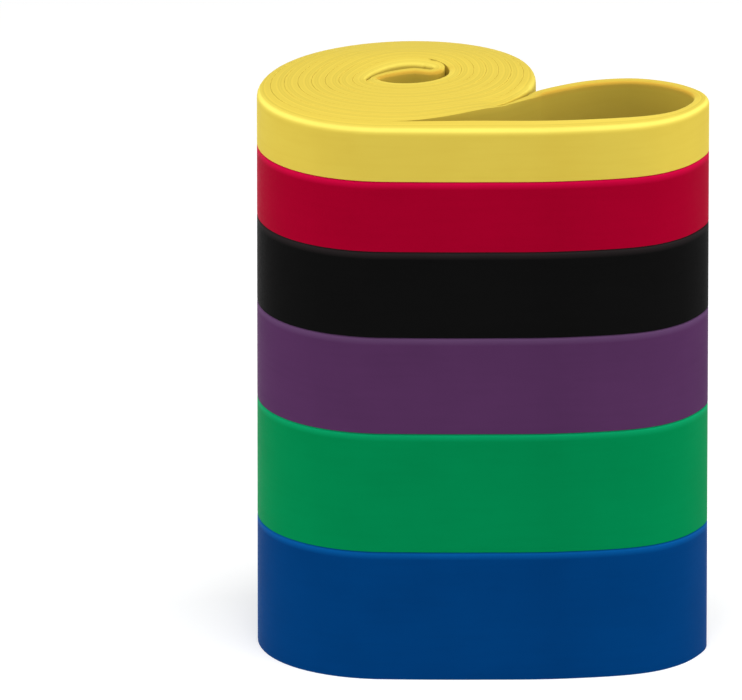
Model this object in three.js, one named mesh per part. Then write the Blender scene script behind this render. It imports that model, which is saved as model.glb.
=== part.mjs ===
// Six elastic loop bands, each pressed flat to two strands, rolled up from one end and stood on edge.
// The rolls are stacked, the widest band at the bottom and the narrowest on top, and the far end of every
// band stands out of its roll as an open loop. Each band is one endless strip of rubber.
//
// Units are millimetres, +Z is up. The origin is on the ground under the middle of the stack. The loops
// point along +X, and the straight front run of every loop faces -Y.
import * as THREE from 'three';

// The bands from the ground up. The width of a band is its height in the stack.
const BANDS = [
  { name: 'blue_band', width: 46.2, colour: 0x05407a, roughness: 0.42 },
  { name: 'green_band', width: 42.8, colour: 0x04834c, roughness: 0.42 },
  { name: 'purple_band', width: 34.6, colour: 0x502e56, roughness: 0.45 },
  { name: 'black_band', width: 30.8, colour: 0x161616, roughness: 0.4 },
  { name: 'red_band', width: 25.1, colour: 0x9e0229, roughness: 0.42 },
  { name: 'yellow_band', width: 18.8, colour: 0xdcc350, roughness: 0.45 },
];
const STACK_GAP = 0.2; // air between one band and the band it rests on

// The strip.
const THICKNESS = 5.3; // of the rubber in the free loop, the same for every band
const ROLLED_THICKNESS = 4.35; // in the roll, where the rubber is pulled tight, on average
const LAYER_GAP = 0.15; // air between one layer of a roll and the next, on average
const FOLDED_THICKNESS = 3.8; // in the core, where the rubber is folded back sharply

// The roll, seen from above: a pair of strands that winds outwards anticlockwise round an oval core.
// Directions are in degrees, anticlockwise from +X, and go on counting past 360 from turn to turn.
const CORE_RADIUS = 12.1; // mean reach of the line between the two strands at direction 0
const OVAL = 2.5; // how far the long axis of the oval stands out from the mean reach
const OVAL_DIRECTION = 17; // of the long axis
const LEAN = 0.047; // share by which layers are thinner towards +X and thicker towards -X
const SPREAD = 0.042; // share by which layers are thicker along one axis and thinner across it
const SPREAD_DIRECTION = 51; // of that axis
const OUTER_START = -165; // where the outer strand comes out of the closed inner end
const INNER_START = 75; // where the inner strand has folded back and lies against the outer one
const OUTER_END = 1350; // where the outer strand leaves the roll as the front run of the loop
const INNER_END = 1395; // where the inner strand leaves the roll as the rear run of the loop

// Middle line of the strip through the core, from the folded inner strand to the closed inner end.
const CORE_BENDS = [
  [7.7, 8.8],
  [9.4, 8.1],
  [10.5, 6.8],
  [10.5, 5.1],
  [9.4, 3.8],
  [7.7, 3.4],
  [5.4, 3.8],
  [2.5, 4],
  [-1, 3.3],
  [-4.4, 2.2],
  [-7.6, 0.8],
  [-10.2, -1.1],
  [-11.5, -3],
];

// Middle line of the strip round the free loop, from the front run to the rear run.
const LOOP_BENDS = [
  [25.4, -46.3],
  [51.4, -45.5],
  [77.4, -41],
  [91.4, -32.5],
  [99.4, -19.3],
  [99.2, -10],
  [92.2, -1.6],
  [82.4, 3.3],
  [72.4, 4.2],
  [59.4, 0.7],
  [46, -8],
  [40.5, -16],
];

// Smoothness.
const SPIRAL_STEP = 15; // degrees
const BEND_STEPS = 4; // from one named bend to the next

const PITCH = ROLLED_THICKNESS + LAYER_GAP;
const RUBBER_SHARE = ROLLED_THICKNESS / PITCH;

// The two strands, counted in layers from the line between them to the middle of each.
const OUTER_STRAND = 0.5;
const INNER_STRAND = -0.5;

// Thickness of a rolled layer and its air where it faces the given angle, and its change for each radian.
function layerAt(angle) {
  const fromSpread = 2 * (angle - THREE.MathUtils.degToRad(SPREAD_DIRECTION));
  return {
    pitch: PITCH * (1 - LEAN * Math.cos(angle) + SPREAD * Math.cos(fromSpread)),
    change: PITCH * (LEAN * Math.sin(angle) - 2 * SPREAD * Math.sin(fromSpread)),
  };
}

function rolledThickness(direction) {
  return RUBBER_SHARE * layerAt(THREE.MathUtils.degToRad(direction)).pitch;
}

// A point of the spiral where the outside of the roll faces the given direction. `layers` counts outwards
// from the line between the two strands. In every half turn the tangent moves out by the thickness of one
// layer there and nothing else changes, so each turn lies against the one inside it all the way round.
function spiralPoint(direction, layers) {
  const angle = THREE.MathUtils.degToRad(direction);
  const fromLongAxis = 2 * (angle - THREE.MathUtils.degToRad(OVAL_DIRECTION));
  const { pitch, change } = layerAt(angle);
  const count = angle / Math.PI + layers;
  const reach = CORE_RADIUS + OVAL * Math.cos(fromLongAxis) + count * pitch;
  const slip = pitch / Math.PI - 2 * OVAL * Math.sin(fromLongAxis) + count * change;
  return new THREE.Vector2(
    reach * Math.cos(angle) - slip * Math.sin(angle),
    reach * Math.sin(angle) + slip * Math.cos(angle),
  );
}

// Both faces of one strand of the roll.
function spiralFaces(start, end, strand) {
  const steps = Math.round((end - start) / SPIRAL_STEP);
  const far = [];
  const near = [];
  for (let i = 0; i <= steps; i += 1) {
    const direction = start + ((end - start) * i) / steps;
    far.push(spiralPoint(direction, strand + RUBBER_SHARE / 2));
    near.push(spiralPoint(direction, strand - RUBBER_SHARE / 2));
  }
  return { far, near };
}

// Where a bend joins a strand of the roll, and the place one step further along that strand. `onwards` is
// that step, in degrees.
function joint(direction, strand, onwards) {
  return {
    at: spiralPoint(direction, strand),
    beyond: spiralPoint(direction + onwards, strand),
    thickness: rolledThickness(direction),
  };
}

// Both faces of the strip along a smooth line through the given bends, between its joints with the roll. The
// strip has the thickness of the roll at both joints and the given one from the first to the last bend. The
// right-hand face is on the right of the way.
function bendFaces(start, bends, end, thickness) {
  const middles = bends.map(([x, y]) => new THREE.Vector2(x, y));
  const points = [start.beyond, start.at, ...middles, end.at, end.beyond];
  const line = new THREE.SplineCurve(points);
  const spans = points.length - 1;
  const right = [];
  const left = [];
  for (let i = BEND_STEPS + 1; i < (spans - 1) * BEND_STEPS; i += 1) {
    const at = i / BEND_STEPS;
    const middle = line.getPoint(at / spans);
    const way = line.getTangent(at / spans);
    const nearStart = Math.max(2 - at, 0);
    const nearEnd = Math.max(at - (spans - 2), 0);
    const rest = 1 - nearStart - nearEnd;
    const here = start.thickness * nearStart + end.thickness * nearEnd + thickness * rest;
    const toRight = new THREE.Vector2(way.y, -way.x).multiplyScalar(here / 2);
    right.push(middle.clone().add(toRight));
    left.push(middle.clone().sub(toRight));
  }
  return { right, left };
}

// Seen from above: the outside of the flattened band, and the inside that the two strands close up.
function bandOutline() {
  const outer = spiralFaces(OUTER_START, OUTER_END, OUTER_STRAND);
  const inner = spiralFaces(INNER_START, INNER_END, INNER_STRAND);
  const loop = bendFaces(
    joint(OUTER_END, OUTER_STRAND, -SPIRAL_STEP),
    LOOP_BENDS,
    joint(INNER_END, INNER_STRAND, -SPIRAL_STEP),
    THICKNESS,
  );
  const core = bendFaces(
    joint(INNER_START, INNER_STRAND, SPIRAL_STEP),
    CORE_BENDS,
    joint(OUTER_START, OUTER_STRAND, SPIRAL_STEP),
    FOLDED_THICKNESS,
  );
  const outside = [...outer.far, ...loop.right, ...inner.near.reverse(), ...core.right];
  const inside = [...outer.near, ...loop.left, ...inner.far.reverse(), ...core.left];
  return { outside, inside };
}

// The outline as a shape whose box has its middle at the origin.
function centredShape() {
  const { outside, inside } = bandOutline();
  const middle = new THREE.Box2().setFromPoints(outside).getCenter(new THREE.Vector2());
  const shape = new THREE.Shape(outside.map((point) => point.sub(middle)));
  shape.holes.push(new THREE.Path(inside.map((point) => point.sub(middle))));
  return shape;
}

function bandMesh({ name, width, colour, roughness }, shape, bottom) {
  const geometry = new THREE.ExtrudeGeometry(shape, { depth: width, bevelEnabled: false });
  geometry.translate(0, 0, bottom);
  const material = new THREE.MeshStandardMaterial({ color: colour, roughness, metalness: 0 });
  const mesh = new THREE.Mesh(geometry, material);
  mesh.name = name;
  return mesh;
}

const stack = new THREE.Group();
stack.name = 'band_stack';
const shape = centredShape();
let bottom = 0;
for (const band of BANDS) {
  stack.add(bandMesh(band, shape, bottom));
  bottom += band.width + STACK_GAP;
}

export default stack;
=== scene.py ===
"""Six elastic loop bands, rolled up, stacked on their cut edges and lit like a product photograph.

Every band is one closed strip of rubber with rounded edges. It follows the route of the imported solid: a pair
of strands that winds round an oval core, and a free loop that stands out of the roll. Its layers lie a little
closer together than the solid's, and the strip in its core is a little thinner.
"""

import math

import bpy
import numpy as np
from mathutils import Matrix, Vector


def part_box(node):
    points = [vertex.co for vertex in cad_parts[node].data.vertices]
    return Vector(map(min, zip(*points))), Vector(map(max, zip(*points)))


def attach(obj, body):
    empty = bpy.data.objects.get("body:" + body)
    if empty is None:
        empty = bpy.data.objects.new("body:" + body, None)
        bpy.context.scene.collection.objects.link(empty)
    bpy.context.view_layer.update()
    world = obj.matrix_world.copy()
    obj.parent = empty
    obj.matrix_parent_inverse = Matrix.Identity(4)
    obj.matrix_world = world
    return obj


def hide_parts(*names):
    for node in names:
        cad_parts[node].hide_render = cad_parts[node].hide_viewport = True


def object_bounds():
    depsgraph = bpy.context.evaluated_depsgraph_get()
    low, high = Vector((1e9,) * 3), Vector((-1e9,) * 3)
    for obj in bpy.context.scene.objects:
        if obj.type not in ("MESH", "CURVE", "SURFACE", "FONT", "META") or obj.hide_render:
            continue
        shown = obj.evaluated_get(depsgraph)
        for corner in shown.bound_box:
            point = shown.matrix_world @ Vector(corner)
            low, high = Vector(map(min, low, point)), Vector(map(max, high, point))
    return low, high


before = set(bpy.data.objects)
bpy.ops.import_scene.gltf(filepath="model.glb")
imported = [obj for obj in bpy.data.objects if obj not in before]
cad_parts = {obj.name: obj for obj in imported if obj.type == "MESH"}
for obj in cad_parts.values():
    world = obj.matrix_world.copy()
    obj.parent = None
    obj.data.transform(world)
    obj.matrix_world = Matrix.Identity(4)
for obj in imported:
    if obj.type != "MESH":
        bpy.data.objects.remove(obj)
cad_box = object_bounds()

MM = 0.001

# The route of the strip seen from above, in millimetres. Directions are in degrees, and are counted on from
# one turn of the roll to the next.
FREE_THICKNESS = 5.3  # of the rubber in the free loop
FOLDED_THICKNESS = 3.3  # of the rubber in the core
PITCH = 4.5  # mean distance from one layer of the roll to the next
RUBBER_SHARE = 0.992  # of the pitch: the layers all but touch
CORE_RADIUS = 12.1  # mean reach of the line between the two strands at direction 0
OVAL = 2.5  # how far the long axis of the oval stands out from the mean reach
OVAL_DIRECTION = 17  # of the long axis
LEAN = 0.047  # share by which layers are thinner towards +X and thicker towards -X
SPREAD = 0.042  # share by which layers are thicker along one axis and thinner across it
SPREAD_DIRECTION = 51  # of that axis
OUTER_START = -165  # where the outer strand comes out of the closed inner end
INNER_START = 75  # where the inner strand has folded back and lies against the outer one
OUTER_END = 1350  # where the outer strand leaves the roll as the front run of the loop
INNER_END = 1395  # where the inner strand leaves the roll as the rear run of the loop
OUTER_STRAND = 0.5  # half a layer outside the line between the two strands
INNER_STRAND = -0.5
STEERING = 15  # degrees of the roll that steer the start of a bend

# Middle line of the strip through the core, from the folded inner strand to the closed inner end.
CORE_BENDS = [
    (7.4, 8.6), (9.2, 8), (10.4, 6.8), (10.5, 5.1), (9.4, 3.7), (7.6, 3.2), (5.4, 3.6),
    (2.5, 4.1), (-1, 3.5), (-4.4, 2.4), (-7.6, 0.9), (-10.2, -1.1), (-11.5, -3),
]
FOLD = 3.2  # the bend where the core turns back most sharply
FOLD_LENGTH = 1.5  # in bends
FOLD_BULGE = 0.5  # of the strip at the fold

# Middle line of the strip round the free loop, from the front run to the rear run.
LOOP_BENDS = [
    (25.4, -46.3), (51.4, -45.5), (77.4, -41), (91.4, -32.5), (99.4, -19.3), (99.2, -10),
    (92.2, -1.6), (82.4, 3.3), (72.4, 4.2), (59.4, 0.7), (46, -8), (40.7, -16.2),
]

# Where a face of the strip comes free of the layer beside it, from pressed to free: in degrees of the roll
# for the strands, in bends for the loop.
OUTER_UNCOVERED = (1040, 1060)  # outside of the outer strand, past the end of the inner strand over it
INNER_UNCOVERED = (1385, 1395)  # outside of the inner strand, where it leaves for the loop
INNER_BY_SLIT = (200, 170)  # outside of the inner strand, next to the slit of the core
OUTER_BY_EYE = (40, 0)  # inside of the outer strand, next to the eye of the core
LOOP_OPENS = (0, 3)  # inside of the loop, from the front of the roll
LOOP_CLOSES = (0, 2)  # inside of the loop, counted back from where it meets the roll

# Where the loop stops following the crown of the roll, in bends.
CROWN_LEFT = (2.5, 5)
CROWN_MET = (0, 2.5)  # counted back from where the loop meets the roll

# Fineness of the visible strip.
FINE_STEP = 5  # degrees of the spiral
BEND_STEPS = 12  # from one named bend to the next
CORNER_STEPS = 5
SIDE_STEPS = 4

# Rounding of the long edges of the strip, in millimetres.
OPEN_RADIUS = 2.0  # on the outside of the topmost band
INSIDE_RADIUS = 1.1  # on its other faces, where they are free
COVERED_RADIUS = 0.7  # on the free faces of a band with another band on it
PRESSED_RADIUS = 0.15  # where two layers press together, and on every lower edge
EDGE_DEPTH = 2.6  # how far down the faces the paler colour of the top edge fades out, as a painted highlight
MARK_DEPTH = 0.5  # from both faces to the middle of the painted highlight and shade along a rounded edge
MARK_WIDTH = 1.3  # of the painted highlight and shade, to where they fade out
HIGHLIGHT_SIDES = 0.6  # how far the painted highlight at the front reaches round the sides: 0 ends it there, 1 keeps it whole

# The layers of a roll stand up out of the outermost one like a flat crown, with a low hill behind its core.
CROWN_HEIGHT = 3.0
CROWN_REACH = 6.0  # in from the rim, to where it has two thirds of its height
HILL_HEIGHT = 2.6
HILL_TOP = (1.5, 15)  # its place on the route's plan
HILL_WIDTH = 27  # to either side, to where it has a third of its height
HILL_FRONT = 9.5  # the same, towards the front
HILL_BACK = 14  # the same, towards the back


def spiral_point(direction, layers):
    """Points of the spiral that face the given directions, outward normals and the rubber's thickness there.

    The tangent that faces a direction is at reach from the pole, and touches the spiral at slip along it.
    """
    angle = np.radians(direction)
    from_long = 2 * (angle - math.radians(OVAL_DIRECTION))
    from_spread = 2 * (angle - math.radians(SPREAD_DIRECTION))
    pitch = PITCH * (1 - LEAN * np.cos(angle) + SPREAD * np.cos(from_spread))
    change = PITCH * (LEAN * np.sin(angle) - 2 * SPREAD * np.sin(from_spread))
    count = angle / math.pi + layers
    reach = CORE_RADIUS + OVAL * np.cos(from_long) + count * pitch
    slip = pitch / math.pi - 2 * OVAL * np.sin(from_long) + count * change
    normal = np.stack([np.cos(angle), np.sin(angle)], axis=-1)
    along = np.stack([-np.sin(angle), np.cos(angle)], axis=-1)
    return reach[..., None] * normal + slip[..., None] * along, normal, pitch * RUBBER_SHARE


def strand(start, end, layers):
    """One strand of the roll: directions, middle points, normals out of the flattened band, thickness."""
    directions = np.linspace(start, end, round(abs(end - start) / FINE_STEP) + 1)
    middle, outward, thickness = spiral_point(directions, layers)
    return directions, middle, outward * math.copysign(1, layers), thickness


def smooth_line(points):
    """A Catmull-Rom line between the second point and the last but one, and the normals on its right."""
    places = []
    ways = []
    for k in range(1, len(points) - 2):
        p0, p1, p2, p3 = points[k - 1:k + 3]
        curve = 2 * p0 - 5 * p1 + 4 * p2 - p3
        twist = 3 * p1 - p0 - 3 * p2 + p3
        for step in range(1 if k == 1 else 0, BEND_STEPS):
            t = step / BEND_STEPS
            places.append(p1 + ((p2 - p0) * t + curve * t**2 + twist * t**3) / 2)
            ways.append((p2 - p0) + 2 * curve * t + 3 * twist * t**2)
    ways = np.array(ways)
    ways /= np.linalg.norm(ways, axis=1)[:, None]
    return np.array(places), np.stack([ways[:, 1], -ways[:, 0]], axis=1)


def smooth(value):
    """Eases from 0 to 1 while the value goes from 0 to 1."""
    value = np.clip(value, 0, 1)
    return value * value * (3 - 2 * value)


def fade(value, span):
    """Eases from 0 to 1 while the value goes from the start of the span to its end."""
    start, end = span
    return smooth((value - start) / (end - start))


def joint(direction, layers, onward):
    """Where a bend meets a strand of the roll: the point that steers it, the joint, the thickness there."""
    steering = spiral_point(np.array(float(direction + onward)), layers)
    meeting = spiral_point(np.array(float(direction)), layers)
    return steering[0], meeting[0], meeting[2]


def bend(start, bends, end, thickness):
    """The strip from one joint with the roll to another: bends passed, middle points, normals, thickness."""
    first_steering, first, first_thickness = start
    last_steering, last, last_thickness = end
    points = np.array([first_steering, first, *bends, last, last_steering], float)
    places, normals = smooth_line(points)
    passed = np.arange(1, len(places) + 1) / BEND_STEPS
    near_first = smooth(1 - passed)
    near_last = smooth(1 - (len(bends) + 1 - passed))
    rest = 1 - near_first - near_last
    blended = first_thickness * near_first + last_thickness * near_last + thickness * rest
    return passed, places, normals, blended


def fold_tightly(places, normals, thickness, passed):
    """Thickens the strip at the sharp fold of the core, on its inside, towards the layer wound round it."""
    bulge = FOLD_BULGE * np.exp(-((passed - FOLD) / FOLD_LENGTH)**2)
    return places - normals * bulge[:, None] / 2, thickness + bulge


def route():
    """The closed strip in millimetres: middle places, outward normals and thickness, how free its outside and
    its inside are, how far it belongs to the roll, and where its outside is the outside of the whole band."""
    outer_turn, outer, outer_normals, outer_thickness = strand(OUTER_START, OUTER_END, OUTER_STRAND)
    inner_turn, inner, inner_normals, inner_thickness = strand(INNER_END, INNER_START, INNER_STRAND)
    loop_passed, loop, loop_normals, loop_thickness = bend(
        joint(OUTER_END, OUTER_STRAND, -STEERING), LOOP_BENDS,
        joint(INNER_END, INNER_STRAND, -STEERING), FREE_THICKNESS)
    core_passed, core, core_normals, core_thickness = bend(
        joint(INNER_START, INNER_STRAND, STEERING), CORE_BENDS,
        joint(OUTER_START, OUTER_STRAND, STEERING), FOLDED_THICKNESS)
    core, core_thickness = fold_tightly(core, core_normals, core_thickness, core_passed)
    loop_left = len(LOOP_BENDS) + 1 - loop_passed
    outside_free = np.concatenate([
        fade(outer_turn, OUTER_UNCOVERED),
        np.ones(len(loop)),
        np.maximum(fade(inner_turn, INNER_UNCOVERED), fade(inner_turn, INNER_BY_SLIT)),
        np.ones(len(core)),
    ])
    inside_free = np.concatenate([
        fade(outer_turn, OUTER_BY_EYE),
        fade(loop_passed, LOOP_OPENS) * fade(loop_left, LOOP_CLOSES),
        np.zeros(len(inner)),
        smooth((core_passed - FOLD) / FOLD_LENGTH),
    ])
    rolled = np.concatenate([
        np.ones(len(outer)),
        np.maximum(1 - fade(loop_passed, CROWN_LEFT), 1 - fade(loop_left, CROWN_MET)),
        np.ones(len(inner) + len(core)),
    ])
    outermost = np.concatenate([
        outer_turn > OUTER_UNCOVERED[1],
        np.ones(len(loop), bool),
        np.zeros(len(inner) + len(core), bool),
    ])
    places = np.concatenate([outer, loop, inner, core])
    normals = np.concatenate([outer_normals, loop_normals, inner_normals, core_normals])
    thickness = np.concatenate([outer_thickness, loop_thickness, inner_thickness, core_thickness])
    return places, normals, thickness, outside_free, inside_free, rolled, outermost


def distance_to_line(points, line):
    """The distance from each point to the nearest segment of a closed line."""
    nearest = np.full(points.shape[:-1], np.inf)
    for start, end in zip(line, np.roll(line, -1, axis=0)):
        way = end - start
        share = np.clip(((points - start) @ way) / (way @ way), 0, 1)
        nearest = np.minimum(nearest, np.linalg.norm(points - start - share[..., None] * way, axis=-1))
    return nearest


def lift(flat, rolled, outline):
    """How far the strip stands up at each place, in millimetres."""
    crown = CROWN_HEIGHT * (1 - np.exp(-distance_to_line(flat, outline) / CROWN_REACH))
    aside = flat[..., 0] - HILL_TOP[0]
    behind = flat[..., 1] - HILL_TOP[1]
    depth = np.where(behind < 0, HILL_FRONT, HILL_BACK)
    hill = HILL_HEIGHT * np.exp(-(aside / HILL_WIDTH)**2 - (behind / depth)**2)
    return crown * rolled[:, None] + hill


def ring(thickness, outside_radius, inside_radius, height):
    """Cross-section of the strip, up its outside and down its inside: offsets from its middle, heights."""
    quarter = np.linspace(0, math.pi / 2, CORNER_STEPS + 1)
    side_heights = np.linspace(PRESSED_RADIUS, height - EDGE_DEPTH, SIDE_STEPS + 1)[1:]
    half = thickness / 2
    middle = np.stack([np.full(len(side_heights), half), side_heights], axis=1)
    gained = 1 - np.cos(quarter)
    left = 1 - np.sin(quarter)
    faces = []
    for radius in (outside_radius, inside_radius):
        low = np.stack([half - PRESSED_RADIUS * left, PRESSED_RADIUS * gained], axis=1)
        high = np.stack([half - radius * gained, height - radius * left], axis=1)
        faces.append(np.concatenate([low, middle, high]))
    outside, inside = faces
    return np.concatenate([outside, (inside * (-1, 1))[::-1]])


def edge_radii(outside_free, inside_free, outermost, covered):
    """The rounding of the strip's top edges on its outside and its inside."""
    outer_radius = COVERED_RADIUS if covered else OPEN_RADIUS
    inside_radius = COVERED_RADIUS if covered else INSIDE_RADIUS
    outside_radius = np.where(outermost, outer_radius, inside_radius)
    outside_radii = PRESSED_RADIUS + (outside_radius - PRESSED_RADIUS) * outside_free
    inside_radii = PRESSED_RADIUS + (inside_radius - PRESSED_RADIUS) * inside_free
    return outside_radii, inside_radii


def ring_faces(count, around):
    """The quads between neighbouring rings of a closed strip."""
    i, j = np.meshgrid(np.arange(count), np.arange(around), indexing="ij")
    next_i = (i + 1) % count
    next_j = (j + 1) % around
    corners = [i * around + j, next_i * around + j, next_i * around + next_j, i * around + next_j]
    return np.stack(corners, axis=-1).reshape(-1, 4)


def relaxed_places(places, rings):
    """Where the strip's surface would be if the band stood open as a round hoop."""
    steps = np.linalg.norm(np.roll(places, -1, axis=0) - places, axis=1)
    length = steps.sum()
    turn = np.concatenate([[0], np.cumsum(steps)[:-1]]) / length * 2 * math.pi
    radius = length / (2 * math.pi) + rings[:, :, 0]
    east = radius * np.cos(turn)[:, None]
    north = radius * np.sin(turn)[:, None]
    return np.stack([east, north, rings[:, :, 1]], axis=2)


def edge_marks(rings, thickness, height, radii):
    """1 in the middle of the widest rounded top edge, 0 on the faces beside it and where it is pressed."""
    from_face = thickness[:, None] / 2 - np.abs(rings[:, :, 0])
    from_top = height - rings[:, :, 1]
    mark = smooth(1 - np.hypot(from_face - MARK_DEPTH, from_top - MARK_DEPTH) / MARK_WIDTH)
    return mark * smooth((radii - PRESSED_RADIUS) / (OPEN_RADIUS - PRESSED_RADIUS))


def band_mesh(name, low, high, covered):
    """The strip between two heights, with the measures of its surface that its rubber is painted by."""
    places, normals, thickness, outside_free, inside_free, rolled, outermost = route()
    height = (high - low) / MM
    outside_radii, inside_radii = edge_radii(outside_free, inside_free, outermost, covered)
    rings = np.stack([ring(*measures, height) for measures in zip(thickness, outside_radii, inside_radii)])
    outside_face = places + normals * thickness[:, None] / 2
    flat = places[:, None, :] + normals[:, None, :] * rings[:, :, :1]
    heights = rings[:, :, 1] + lift(flat, rolled, outside_face[outermost])
    flat -= (outside_face.min(axis=0) + outside_face.max(axis=0)) / 2
    vertices = np.concatenate([flat, heights[:, :, None]], axis=2).reshape(-1, 3) * MM
    vertices[:, 2] += low
    faces = ring_faces(*rings.shape[:2])
    mesh = bpy.data.meshes.new(name)
    mesh.from_pydata(vertices.tolist(), [], faces.tolist())
    mesh.polygons.foreach_set("use_smooth", np.ones(len(faces), bool))
    on_outside = rings[:, :, 0] > 0
    radii = np.where(on_outside, outside_radii[:, None], inside_radii[:, None])
    marks = edge_marks(rings, thickness, height, radii)
    # Painted highlight on the rounded edges that face the front; painted shade on the inside ones turned away
    # from it.
    at_front = smooth(HIGHLIGHT_SIDES - normals[:, 1])[:, None]
    add_attribute(mesh, "relaxed", "FLOAT_VECTOR", "vector", relaxed_places(places, rings) * MM)
    add_attribute(mesh, "across", "FLOAT", "value", rings[:, :, 0] * MM)
    # The cut top's own paler colour, which also fades down the faces as a painted highlight.
    add_attribute(mesh, "cut_top_and_highlight", "FLOAT", "value", 1 - smooth((height - rings[:, :, 1]) / EDGE_DEPTH))
    add_attribute(mesh, "front_highlight", "FLOAT", "value", marks * at_front)
    add_attribute(mesh, "rear_shade", "FLOAT", "value", marks * (1 - at_front) * ~on_outside)
    mesh.update()
    set_even_normals(mesh, vertices, faces)
    return mesh


def add_attribute(mesh, name, kind, field, values):
    attribute = mesh.attributes.new(name, kind, "POINT")
    attribute.data.foreach_set(field, values.astype(np.float32).reshape(-1))


def set_even_normals(mesh, vertices, faces):
    """Normals weighted by face area, so that wide flat faces stay flat beside their rounded edges."""
    a, b, c, d = (vertices[faces[:, k]] for k in range(4))
    face_normals = np.cross(c - a, d - b)
    total = np.zeros_like(vertices)
    for k in range(4):
        np.add.at(total, faces[:, k], face_normals)
    total /= np.linalg.norm(total, axis=1)[:, None]
    mesh.normals_split_custom_set_from_vertices(total.tolist())


def linear(value):
    """The linear value of one sRGB channel, which goes from 0 to 255."""
    value /= 255
    return value / 12.92 if value <= 0.04045 else ((value + 0.055) / 1.055) ** 2.4


def colour(red, green, blue):
    return (linear(red), linear(green), linear(blue), 1)


# From the top of the stack down. The cut edges are a little paler than the moulded faces, and that paler
# colour also fades down the faces from the top edge as a painted highlight. The rounded edges carry a painted
# highlight at the front and painted shade inside the loop at its rear.
LOOKS = {
    "yellow": dict(
        face=colour(209, 186, 74), shade=colour(200, 173, 63), edge=colour(228, 202, 82),
        painted_highlight=colour(252, 236, 110), painted_shade=colour(196, 122, 26)),
    "red": dict(
        face=colour(153, 0, 37), shade=colour(142, 0, 32), edge=colour(208, 10, 66),
        painted_highlight=colour(212, 12, 70), painted_shade=colour(126, 0, 28)),
    "black": dict(
        face=colour(14, 14, 14), shade=colour(11, 11, 11), edge=colour(42, 36, 37),
        painted_highlight=colour(46, 41, 42), painted_shade=colour(10, 10, 10)),
    "purple": dict(
        face=colour(79, 45, 84), shade=colour(71, 40, 76), edge=colour(94, 66, 102),
        painted_highlight=colour(98, 70, 106), painted_shade=colour(62, 34, 66)),
    "green": dict(
        face=colour(0, 128, 73), shade=colour(0, 119, 66), edge=colour(10, 154, 98),
        painted_highlight=colour(14, 158, 104), painted_shade=colour(0, 104, 56)),
    "blue": dict(
        face=colour(0, 58, 116), shade=colour(0, 51, 105), edge=colour(6, 88, 158),
        painted_highlight=colour(10, 94, 164), painted_shade=colour(0, 44, 92)),
}
TOP_COLOUR = "yellow"


class Nodes:
    """Short ways to add and join the nodes of one material."""

    def __init__(self, name):
        self.material = bpy.data.materials.new(name)
        self.material.use_nodes = True
        self.tree = self.material.node_tree
        self.shader = self.tree.nodes["Principled BSDF"]

    def link(self, output, target):
        self.tree.links.new(output, target)

    def attribute(self, name, output):
        node = self.tree.nodes.new("ShaderNodeAttribute")
        node.attribute_name = name
        return node.outputs[output]

    def noise(self, place, scale, detail, dimensions="3D"):
        """Noise over a place, or in 1D over a single number."""
        node = self.tree.nodes.new("ShaderNodeTexNoise")
        node.noise_dimensions = dimensions
        node.inputs["Scale"].default_value = scale
        node.inputs["Detail"].default_value = detail
        self.link(place, node.inputs["W" if dimensions == "1D" else "Vector"])
        return node.outputs["Fac"]

    def scaled(self, place, scale):
        node = self.tree.nodes.new("ShaderNodeMapping")
        node.inputs["Scale"].default_value = scale
        self.link(place, node.inputs["Vector"])
        return node.outputs["Vector"]

    def ranged(self, value, span, new_span):
        node = self.tree.nodes.new("ShaderNodeMapRange")
        for name, number in zip(("From Min", "From Max", "To Min", "To Max"), span + new_span):
            node.inputs[name].default_value = number
        self.link(value, node.inputs["Value"])
        return node.outputs["Result"]

    def times(self, first, second):
        node = self.tree.nodes.new("ShaderNodeMath")
        node.operation = "MULTIPLY"
        self.link(first, node.inputs[0])
        self.link(second, node.inputs[1])
        return node.outputs["Value"]

    def mixed(self, factor, first, second):
        node = self.tree.nodes.new("ShaderNodeMix")
        node.data_type = "RGBA"
        self.link(factor, node.inputs["Factor"])
        for side, name in ((first, "A"), (second, "B")):
            if isinstance(side, tuple):
                node.inputs[name].default_value = side
            else:
                self.link(side, node.inputs[name])
        return node.outputs["Result"]

    def bumped(self, height, strength, distance, normal=None):
        node = self.tree.nodes.new("ShaderNodeBump")
        node.inputs["Strength"].default_value = strength
        node.inputs["Distance"].default_value = distance
        self.link(height, node.inputs["Height"])
        if normal:
            self.link(normal, node.inputs["Normal"])
        return node.outputs["Normal"]


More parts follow.
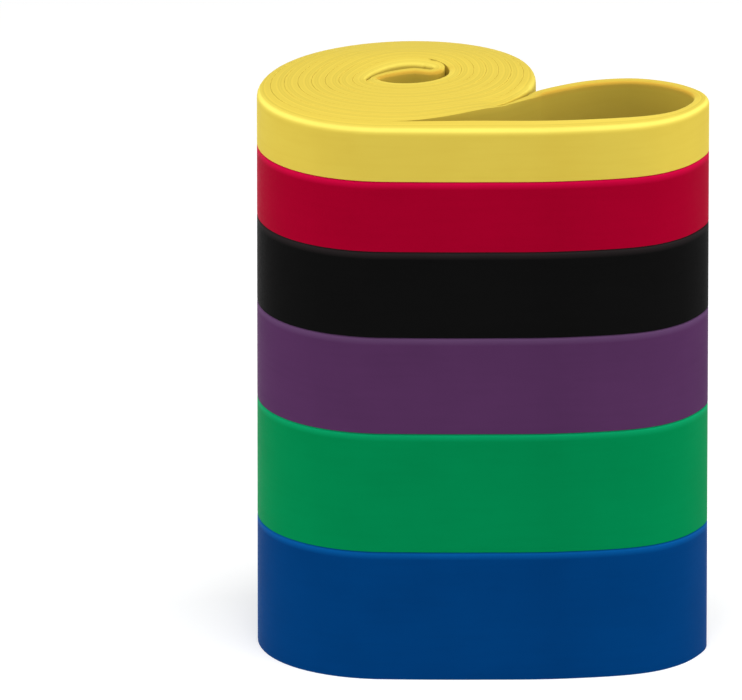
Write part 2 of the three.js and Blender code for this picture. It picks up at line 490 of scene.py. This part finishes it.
def rubber(name, look):
    """Satin moulded rubber: cloudy, faintly streaked along the strip, with fine layers on its cut edges."""
    nodes = Nodes(name)
    place = nodes.attribute("relaxed", "Vector")
    cut_top_and_highlight = nodes.attribute("cut_top_and_highlight", "Fac")
    clouds = nodes.ranged(nodes.noise(place, scale=30, detail=4), (0.35, 0.7), (0, 0.55))
    along = nodes.scaled(place, (1, 1, 12))
    streaks = nodes.ranged(nodes.noise(along, scale=45, detail=3), (0.45, 0.8), (0, 0.3))
    layers = nodes.noise(nodes.attribute("across", "Fac"), scale=1400, detail=2, dimensions="1D")
    grain = nodes.noise(place, scale=1100, detail=3)
    moulded = nodes.mixed(clouds, look["face"], look["shade"])
    streaked = nodes.mixed(streaks, moulded, look["shade"])
    # Paler cut top, partly its own colour and partly a painted highlight fading down the faces.
    layered = nodes.mixed(nodes.ranged(layers, (0.4, 0.65), (0.15, 0.8)), look["edge"], look["face"])
    with_cut_top_and_highlight = nodes.mixed(cut_top_and_highlight, streaked, layered)
    # Painted shade on the inside rounded edges at the rear of the loop.
    shaded = nodes.mixed(nodes.attribute("rear_shade", "Fac"), with_cut_top_and_highlight, look["painted_shade"])
    # Painted highlight along the front of the rounded edges.
    painted_highlight = nodes.times(nodes.attribute("front_highlight", "Fac"), nodes.ranged(clouds, (0, 0.5), (1, 0.8)))
    grained = nodes.bumped(grain, strength=0.1, distance=0.0002)
    drawn_out = nodes.bumped(streaks, strength=0.04, distance=0.0003, normal=grained)
    cut = nodes.bumped(nodes.times(layers, cut_top_and_highlight), strength=0.1, distance=0.0003, normal=drawn_out)
    sockets = nodes.shader.inputs
    nodes.link(nodes.mixed(painted_highlight, shaded, look["painted_highlight"]), sockets["Base Color"])
    nodes.link(nodes.ranged(grain, (0.3, 0.7), (0.4, 0.52)), sockets["Roughness"])
    nodes.link(cut, sockets["Normal"])
    sockets["Specular IOR Level"].default_value = 0.006
    sockets["Sheen Weight"].default_value = 0.25
    sockets["Sheen Roughness"].default_value = 0.3
    sockets["Sheen Tint"].default_value = look["painted_highlight"]
    return nodes.material


def add_band(colour_name, covered):
    node = f"{colour_name}_band"
    low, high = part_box(node)
    mesh = band_mesh(f"{colour_name}_loop", low.z, high.z, covered)
    band = bpy.data.objects.new(f"{colour_name}_loop", mesh)
    bpy.context.scene.collection.objects.link(band)
    mesh.materials.append(rubber(f"{colour_name}_rubber", LOOKS[colour_name]))
    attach(band, f"{colour_name}_roll")
    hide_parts(node)


def add_floor():
    reach = 6.0
    corners = [(-reach, -reach, 0), (reach, -reach, 0), (reach, reach, 0), (-reach, reach, 0)]
    mesh = bpy.data.meshes.new("floor")
    mesh.from_pydata(corners, [], [(0, 1, 2, 3)])
    floor = bpy.data.objects.new("floor", mesh)
    bpy.context.scene.collection.objects.link(floor)
    material = bpy.data.materials.new("pale_floor")
    material.use_nodes = True
    shader = material.node_tree.nodes["Principled BSDF"]
    shader.inputs["Base Color"].default_value = (0.76, 0.76, 0.76, 1)
    shader.inputs["Roughness"].default_value = 0.9
    shader.inputs["Emission Color"].default_value = (1, 1, 1, 1)
    shader.inputs["Emission Strength"].default_value = 0.4
    mesh.materials.append(material)


STACK_MIDDLE = Vector((0, 0, 0.1))


def add_light(name, place, size, power):
    """A soft box that faces the middle of the stack."""
    data = bpy.data.lights.new(name, "AREA")
    data.shape = "RECTANGLE"
    data.size, data.size_y = size
    data.energy = power
    light = bpy.data.objects.new(name, data)
    light.location = place
    light.rotation_euler = (STACK_MIDDLE - Vector(place)).to_track_quat("-Z", "Y").to_euler()
    bpy.context.scene.collection.objects.link(light)


def add_lights():
    add_light("overhead", place=(0.1, -0.35, 1.5), size=(1.0, 0.8), power=14.2)
    add_light("front", place=(0, -1.2, 1.0), size=(0.8, 0.6), power=2.8)
    add_light("left_fill", place=(-1.3, -0.1, 0.5), size=(0.8, 0.8), power=7)
    add_light("right_fill", place=(1.3, -0.1, 0.5), size=(0.8, 0.8), power=7)
    world = bpy.data.worlds.new("white_room")
    world.use_nodes = True
    background = world.node_tree.nodes["Background"]
    background.inputs["Color"].default_value = (1, 1, 1, 1)
    background.inputs["Strength"].default_value = 0.3
    bpy.context.scene.world = world


# The frame of the photograph, and how the object is seen in it.
IMAGE_WIDTH, IMAGE_HEIGHT = 742, 700
ELEVATION = math.radians(19.6)
OBJECT_WIDTH = 0.60647  # share of the frame's width
OBJECT_RIGHT = 0.15013  # how far its middle is to the right of the frame's, as a share of the frame's width
OBJECT_BELOW = 0.01486  # how far its middle is below the frame's, as a share of the frame's height
SENSOR_WIDTH = 36
LENS = 1200  # millimetres: the photograph shows no perspective


def add_camera():
    low, high = cad_box
    view_width = (high[0] - low[0]) / OBJECT_WIDTH
    view_height = view_width * IMAGE_HEIGHT / IMAGE_WIDTH
    data = bpy.data.cameras.new("camera")
    data.sensor_width = SENSOR_WIDTH
    data.lens = LENS
    data.clip_end = 100
    right = Vector((1, 0, 0))
    up = Vector((0, math.sin(ELEVATION), math.cos(ELEVATION)))
    back = Vector((0, -math.cos(ELEVATION), math.sin(ELEVATION)))
    middle = Vector((0, (low[1] + high[1]) / 2, (low[2] + high[2]) / 2))
    aim = middle - right * OBJECT_RIGHT * view_width + up * OBJECT_BELOW * view_height
    camera = bpy.data.objects.new("camera", data)
    camera.location = aim + back * view_width * LENS / SENSOR_WIDTH
    camera.rotation_euler = (-back).to_track_quat("-Z", "Y").to_euler()
    bpy.context.scene.collection.objects.link(camera)
    bpy.context.scene.camera = camera


bpy.context.scene.view_settings.view_transform = "Standard"
for colour_name in LOOKS:
    add_band(colour_name, covered=colour_name != TOP_COLOUR)
add_floor()
add_lights()
add_camera()
